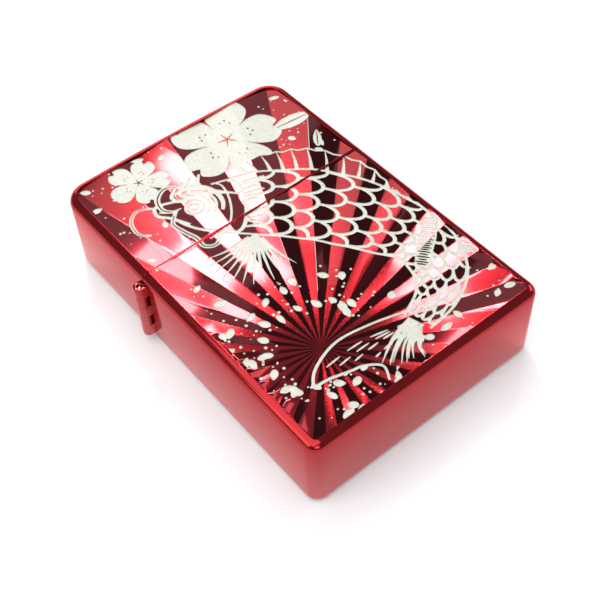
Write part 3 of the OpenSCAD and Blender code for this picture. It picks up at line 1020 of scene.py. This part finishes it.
def hinge_leaf(name, side, places, node, extra=()):
    """A rolled leaf: strips curled round the pin and one plate inside the wall.

    side is +1 above the pin and -1 below it; places are the knuckles counted from the back.
    """
    sheet = KNUCKLE_R - PIN_R
    middle = (KNUCKLE_R + PIN_R) / 2
    bend, tongue, clear = 0.3, 1.6, 0.45
    web_end = LEAF_MID - PIN[0]
    path = [polar((0, 0), middle, a) for a in range(-25, 271, 12)]
    path += arc_points((web_end - bend, -middle - bend), bend, 90, 0, 5)
    path.append((web_end, -middle - tongue))
    path = [(PIN[0] + x, PIN[1] - side * y) for x, y in path]
    pieces = []
    for i in places:
        low = PIN_LO[2] + i * (KNUCKLE_L + KNUCKLE_GAP)
        pieces.append(prism("knuckle", stroke(path, sheet, 0.0), low, low + KNUCKLE_L,
                            lambda u, v, w: (u, v, w), 0.14))
    lo, hi = box_mm(node)
    low, high = (PIN[1] + clear, hi[1]) if side > 0 else (lo[1], PIN[1] - clear)
    pieces.append(prism("plate", rounded_rectangle((low, lo[2]), (high, hi[2]), 0.8),
                        LEAF_MID - LEAF_HALF, LEAF_MID + LEAF_HALF, lambda u, v, w: (w, u, v), 0.08))
    return merge(name, pieces + list(extra))


def nose():
    """The tongue on the upper leaf that the cam's finger bears on."""
    hi = box_mm("hinge_upper_leaf")[1]
    y, thick, half_z = PIN[1] + 5.8, 0.7, 1.2
    tip = hi[0] - thick / 2
    outline = [(LEAF_MID, y - thick / 2)] + arc_points((tip, y), thick / 2, -90, 90, 8)
    outline.append((LEAF_MID, y + thick / 2))
    return prism("nose", outline, PIN[2] - half_z, PIN[2] + half_z, lambda u, v, w: (u, v, w), 0.1)


def build_hinge():
    """Two rolled leaves and the pin with domed ends."""
    lower = hinge_leaf("hinge_lower", -1, (0, 2, 4), "hinge_lower_leaf")
    finish_piece(lower, "case", "hinge", "hinge_lower_leaf", RED)
    upper = hinge_leaf("hinge_upper", 1, (1, 3), "hinge_upper_leaf", [nose()])
    finish_piece(upper, "lid", "hinge", "hinge_upper_leaf", RED)
    half = (PIN_HI[2] - PIN_LO[2]) / 2
    dome = [(0, -half + 0.22), (PIN_R * 0.6, -half + 0.28), (PIN_R * 0.97, -half + 0.42)]
    profile = dome + [(r, -h) for r, h in dome[::-1]]
    pin = lathe("hinge_rod", profile, PIN, 32)
    finish_piece(pin, "case", "pin", "hinge_pin", STEEL)


def groove(turn, width=0.3):
    """Depth of a V-shaped groove, 0 to 1, where turn counts grooves."""
    return max(0.0, 1 - abs(turn % 1 - 0.5) / width)


def build_wheel():
    """Flint wheel with two crossing sets of file cuts and dished ends."""
    lo, hi = box_mm("flint_wheel")
    centre = middle_of(lo, hi)
    radius, half = (hi[0] - lo[0]) / 2, (hi[2] - lo[2]) / 2
    bore, dish, lip, dish_depth, shoulder = 0.96, 2.5, 2.8, 0.3, 0.12
    teeth, per_tooth, rows, cut_depth, slant = 30, 8, 31, 0.42, 0.62
    steps = teeth * per_tooth
    rings = [[(bore, -half + dish_depth)] * steps, [(dish, -half + dish_depth)] * steps,
             [(lip, -half)] * steps]
    for j in range(rows):
        h = -half + shoulder + (2 * half - 2 * shoulder) * j / (rows - 1)
        row = []
        for i in range(steps):
            turn = i / per_tooth
            depth = max(groove(turn + slant * h), 0.7 * groove(turn - slant * h + 0.5))
            row.append((radius - cut_depth * depth, h))
        rings.append(row)
    rings += [[(r, -h) for r, h in row] for row in rings[2::-1]]
    verts = []
    for row in rings:
        for i, (r, h) in enumerate(row):
            x, y = polar(centre, r, 360 * i / steps)
            verts.append((x, y, centre[2] + h))
    faces = grid_faces(len(rings), steps, close_cols=True, close_rows=True)
    wheel = make_object("file_cut_wheel", verts, faces, smooth=False)
    finish_piece(wheel, "wheel", "wheel", "flint_wheel", HARD_STEEL)


def braid(lo, hi, centre, radius):
    """The wick's plaited surface, closing in and ragged at its top."""
    rng = random.Random(8)
    steps, pitch, ragged = 48, 0.16, 1.1
    strands, lay = 4, 2.4      # crossing strands each way, and their turn in radians per millimetre
    rows = int((hi[1] - lo[1]) / pitch)
    verts = []
    for j in range(rows + 1):
        y = lo[1] + (hi[1] - lo[1]) * j / rows
        near_top = max(0.0, 1 - (hi[1] - y) / ragged)
        for i in range(steps):
            a = 2 * math.pi * i / steps
            plait = max(math.cos(strands * a + lay * y), math.cos(strands * a - lay * y))
            r = radius * (0.87 + 0.12 * plait) * (1 - 0.45 * near_top ** 2)
            r -= radius * 0.16 * near_top * rng.random()
            drop = 0.5 * near_top ** 2 * rng.random()
            verts.append((centre[0] + r * math.cos(a), y - drop, centre[2] + r * math.sin(a)))
    return make_object("braided_wick", verts, tube_faces(rows + 1, steps))


def copper_strand(k, hi, centre, radius):
    """One of two thin wires wound round the top of the wick."""
    path = []
    for i in range(90):
        y = hi[1] - 0.35 - 0.13 * i
        a = math.pi * k + 0.6 * y
        path.append((centre[0] + radius * math.cos(a), y, centre[2] + radius * math.sin(a)))
    return wire("strand", path, 0.07, 6)


def build_wick():
    """Braided cotton with two copper strands."""
    lo, hi = box_mm("wick")
    centre = middle_of(lo, hi)
    radius = (hi[0] - lo[0]) / 2
    finish_piece(braid(lo, hi, centre, radius), "case", "wick", "wick", COTTON)
    strands = [copper_strand(k, hi, centre, radius - 0.08) for k in range(2)]
    finish_piece(merge("copper_strands", strands), "case", "wick", "wick", COPPER)


def build_pad(name, node, slot, material, voxel, pull, fuzz, scale):
    """A soft block: the CAD solid remeshed, smoothed at its edges, pulled in and made fluffy.

    voxel, pull and fuzz are in millimetres, and scale is how many lumps there are in a millimetre.
    """
    source = frame["nodes"][node]
    pad = add_object(name, source.data.copy())
    pad.matrix_world = source.matrix_world.copy()
    pad.data.materials.clear()
    remesh = pad.modifiers.new("even", "REMESH")
    remesh.mode = "VOXEL"
    remesh.voxel_size = voxel * MM
    apply_modifiers(pad)
    bm = bmesh.new()
    bm.from_mesh(pad.data)
    for _ in range(6):
        bmesh.ops.smooth_vert(bm, verts=bm.verts, factor=0.5, use_axis_x=True, use_axis_y=True,
                              use_axis_z=True)
    bm.normal_update()
    for vert in bm.verts:
        lump = fractal(vert.co / MM * scale, 0.8, 2.1, 3)
        vert.co -= vert.normal * (pull + fuzz * (1 - lump)) * MM
    for face in bm.faces:
        face.smooth = True
    bm.to_mesh(pad.data)
    bm.free()
    finish_piece(pad, "case", slot, node, material)


def hinge_notch():
    """Cutter for the window in the left wall that the knuckles sit in, with rounded corners."""
    gap, end_gap, beyond = 0.05, 0.12, 1
    low = (PIN[1] - KNUCKLE_R - gap, PIN_LO[2] - end_gap)
    high = (PIN[1] + KNUCKLE_R + gap, PIN_HI[2] + end_gap)
    outline = rounded_rectangle(low, high, 0.3)
    verts = [(x, y, z) for x in (-HALF_W - beyond, -HALF_W + WALL + 0.01) for y, z in outline]
    return make_object("notch_cutter", verts, tube_faces(2, len(outline)), smooth=False)


def build_shells():
    """Lower case and lid, engraved with one motif that runs across both."""
    shapes = motif()
    for name, path, split, body, slot, node in (
            ("case_shell", case_path(), SEAM_LOW, "case", "case", "lower_case"),
            ("lid_shell", lid_path(), SEAM_HIGH, "lid", "lid", "lid")):
        shell = make_shell(name, path, split, shapes)
        # in the order of the slot numbers LACQUER to POLISHED
        for material in (RED, IVORY, INNER, BRIGHT_RED, PAINTED_DARK_RED):
            shell.data.materials.append(material)
        cut(shell, hinge_notch())
        finish_piece(shell, body, slot, node)


def dress_cad(node, material, bevel):
    """Gives a carried-over CAD node its material and soft edges."""
    obj = frame["nodes"][node]
    obj.data.materials.clear()
    obj.data.materials.append(material)
    if bevel:
        add_bevel(obj, bevel, 2)


def build_insides():
    """The insert and its works, which keep their CAD shapes."""
    for node, material, bevel in (
            ("insert_case", STEEL, 0.08), ("wind_screen", PRESSED, 0.05), ("cam", SPRING_STEEL, 0.06),
            ("cam_rivet", BRASS, 0.1), ("cam_spring", SPRING_STEEL, 0), ("wheel_rivet", BRASS, 0.12),
            ("flint_tube", BRASS, 0), ("flint", FLINT, 0), ("flint_tip", BRASS, 0.05),
            ("flint_spring", SPRING_STEEL, 0), ("flint_screw", BRASS, 0.08)):
        dress_cad(node, material, bevel)


# ---- floor, light and camera ---------------------------------------------------------------------

def camera_turn(azimuth, elevation, roll):
    """Rotation of a camera seen from its target at these angles in degrees."""
    azimuth, elevation, roll = (math.radians(a) for a in (azimuth, elevation, roll))
    back = Vector((math.sin(azimuth) * math.cos(elevation), -math.cos(azimuth) * math.cos(elevation),
                   math.sin(elevation)))
    right = Vector((math.cos(azimuth), math.sin(azimuth), 0))
    up = back.cross(right)
    tilted_right = right * math.cos(roll) + up * math.sin(roll)
    tilted_up = up * math.cos(roll) - right * math.sin(roll)
    return Matrix((tilted_right, tilted_up, back)).transposed().to_4x4()


EYE_TURN = camera_turn(-36.92, 50.67, -2.91)
EYE_DISTANCE = 0.14599      # metres from the point that the camera looks at
EYE = Vector((-2.73, -5.38, 6.5)) * MM + EYE_TURN.to_3x3() @ Vector((0, 0, EYE_DISTANCE))


def build_floor():
    """A plain pale floor under the lighter's back."""
    half = 4      # metres
    mesh = bpy.data.meshes.new("floor")
    mesh.from_pydata([(-half, -half, 0), (half, -half, 0), (half, half, 0), (-half, half, 0)], [],
                     [(0, 1, 2, 3)])
    floor = add_object("floor", mesh)
    material, tree, shader = new_material("pale_floor", Roughness=0.6, Specular_IOR_Level=0.25)
    colour = ramp(tree, noise(tree, 30, 3), [(0.3, (0.86, 0.86, 0.87)), (0.7, (0.9, 0.9, 0.9))])
    tree.links.new(colour, shader.inputs["Base Color"])
    floor.data.materials.append(material)


def softbox(name, size, radiance, placed):
    """A rectangular light at a matrix; radiance is how bright its surface looks."""
    light = bpy.data.lights.new(name, "AREA")
    light.shape = "RECTANGLE"
    light.size, light.size_y = size
    light.energy = radiance * math.pi * size[0] * size[1]
    add_object(name, light).matrix_world = placed


def area_light(name, place, aim, size, radiance):
    """A softbox at a place, turned towards an aim, all in metres."""
    facing = (Vector(aim) - Vector(place)).to_track_quat("-Z", "Y").to_matrix().to_4x4()
    softbox(name, size, radiance, Matrix.Translation(place) @ facing)


def mirror_card(name, low, high, radiance):
    """A softbox that a flat front would show over the rectangle low to high, in millimetres."""
    distance = 0.6      # metres from the front
    middle = Vector(((low[0] + high[0]) / 2, (low[1] + high[1]) / 2, DEPTH)) * MM
    sight = middle - EYE
    away = Vector((sight.x, sight.y, -sight.z)).normalized()
    grow = (sight.length + distance) / sight.length
    across = Vector((1, 0, 0)) - away * away.x
    along = Vector((0, 1, 0)) - away * away.y
    up = along.normalized()
    turn = Matrix((up.cross(away), up, away)).transposed().to_4x4()
    size = ((high[0] - low[0]) * MM * grow * across.length, (high[1] - low[1]) * MM * grow * along.length)
    softbox(name, size, radiance, Matrix.Translation(middle + away * distance) @ turn)


def build_studio():
    """A pale surround and five large softboxes."""
    world = bpy.data.worlds.new("studio")
    bpy.context.scene.world = world
    world.use_nodes = True
    background = world.node_tree.nodes["Background"]
    background.inputs["Color"].default_value = (0.95, 0.97, 1.0, 1)
    background.inputs["Strength"].default_value = 0.34
    area_light("overhead", (-0.3, 0.0, 0.95), (0, 0, 0), (1.25, 1.25), 1.85)
    area_light("left_box", (-0.95, 0.2, 0.55), (0, 0, 0.02), (0.7, 0.5), 2.4)
    area_light("right_box", (0.95, -0.1, 0.55), (0, 0, 0), (0.7, 0.5), 2.6)
    area_light("back_box", (0.4, 1.0, 0.35), (0, 0, 0), (0.9, 0.5), 2.4)
    area_light("front_box", (-0.45, -0.95, 0.6), (0, 0, 0), (0.6, 0.5), 2.6)


def build_cards():
    """Small cards that the bright-cut facets mirror: bright ones as white beams, dim ones as red."""
    for name, low, high, radiance in (
            ("long_beam", (-20, -4), (-12.5, 13), 32),
            ("far_beam", (-15.8, 13), (-12, 23), 32),
            ("cheek_beam", (-11.5, 8), (-3.5, 18.5), 32),
            ("left_beam", (-24.5, -5.5), (-20.3, 4.5), 32),
            ("low_beam", (-25.5, -15), (-22.5, -9), 32),
            ("tail_beam", (-1.5, -30), (15.5, -27), 32),
            ("side_beam", (8.5, -24.5), (20, -19.8), 32),
            ("short_beam", (-0.5, -34), (6.5, -31.5), 32),
            ("top_glow", (-7, 2), (26, 44), 1.5),
            ("left_glow", (-34, -7), (-21, 20), 1.4),
            ("right_glow", (8, -19.5), (27, -8), 1.5)):
        mirror_card(name, low, high, radiance)


def build_camera():
    """The camera at the front view's angle and lens."""
    data = bpy.data.cameras.new("camera")
    data.sensor_width, data.lens = 36, 65.04
    data.clip_start, data.clip_end = 0.005, 20
    camera = add_object("camera", data)
    camera.matrix_world = Matrix.Translation(EYE) @ EYE_TURN
    bpy.context.scene.camera = camera


bpy.context.scene.view_settings.view_transform = "Standard"
build_camera()
build_shells()
build_hinge()
build_wheel()
build_wick()
build_pad("rayon_wadding", "wadding", "wadding", RAYON, voxel=0.45, pull=0.05, fuzz=0.3, scale=0.6)
build_pad("felt_cushion", "felt_pad", "felt", FELT, voxel=0.25, pull=0.02, fuzz=0.12, scale=1.6)
build_insides()
build_floor()
build_studio()
build_cards()
bpy.context.view_layer.update()
